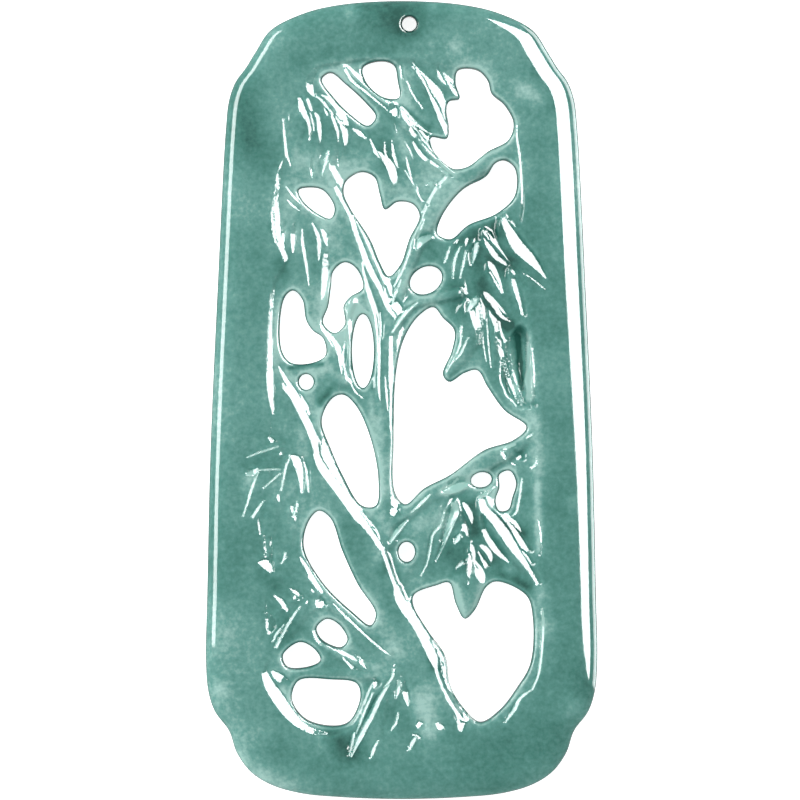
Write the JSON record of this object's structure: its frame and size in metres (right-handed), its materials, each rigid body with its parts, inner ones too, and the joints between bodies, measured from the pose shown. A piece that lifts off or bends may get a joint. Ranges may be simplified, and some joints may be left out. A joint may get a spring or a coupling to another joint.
{
  "type": "carved jadeite pendant",
  "caption": "Tapered jadeite plaque pendant, pierced and carved in relief with bamboo stems and leaves inside a plain polished border, with a drilled cord hole at the top.",
  "frame": {"origin": "middle of the outline on the flat back, on the surface that the pendant lies on", "axes": "+Y towards the end with the cord hole, +Z out of the carved face, +X across the plaque to the right when the carved face is seen with the cord hole up"},
  "size_m": [0.0304, 0.062, 0.0042],
  "materials": {
    "jade": "polished translucent blue-green jadeite with cloudy patches"
  },
  "bodies": {
    "root": {"bamboo_plaque": "jade"}
  },
  "joints": []
}
